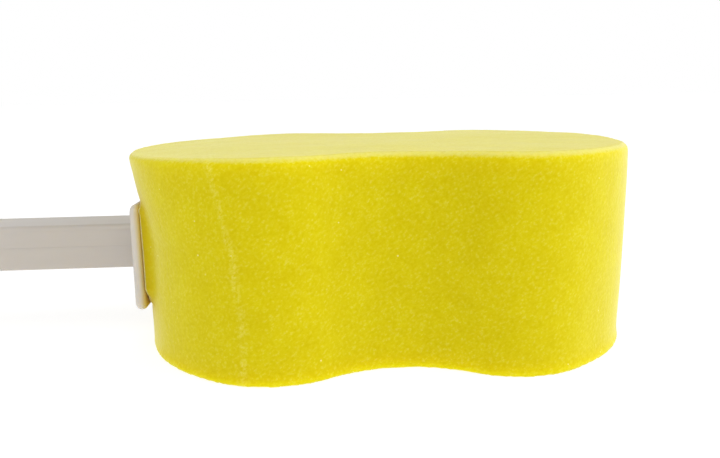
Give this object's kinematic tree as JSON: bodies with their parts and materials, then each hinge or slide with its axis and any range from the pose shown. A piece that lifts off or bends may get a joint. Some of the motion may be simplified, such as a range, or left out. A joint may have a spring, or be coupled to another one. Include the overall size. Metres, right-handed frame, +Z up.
{
  "type": "long-handled washing sponge",
  "caption": "Waisted foam washing sponge glued over a barbed plastic spine, on a straight two-shell handle that swells into a grip with a hanging hole.",
  "frame": {"origin": "centre of the sponge's lower face, where it rests", "axes": "+X from the handle through the sponge to its free end, +Z up out of the lower face, +Y across the width"},
  "size_m": [0.3988, 0.098, 0.06],
  "materials": {
    "foam": "matte",
    "spine_plastic": "satin",
    "handle_plastic": "satin",
    "adhesive": "satin"
  },
  "bodies": {
    "root": {"sponge_block": "foam", "spine": "spine_plastic", "adhesive_upper": "adhesive", "adhesive_lower": "adhesive", "handle_upper_shell": "handle_plastic", "handle_lower_shell": "handle_plastic"}
  },
  "joints": []
}
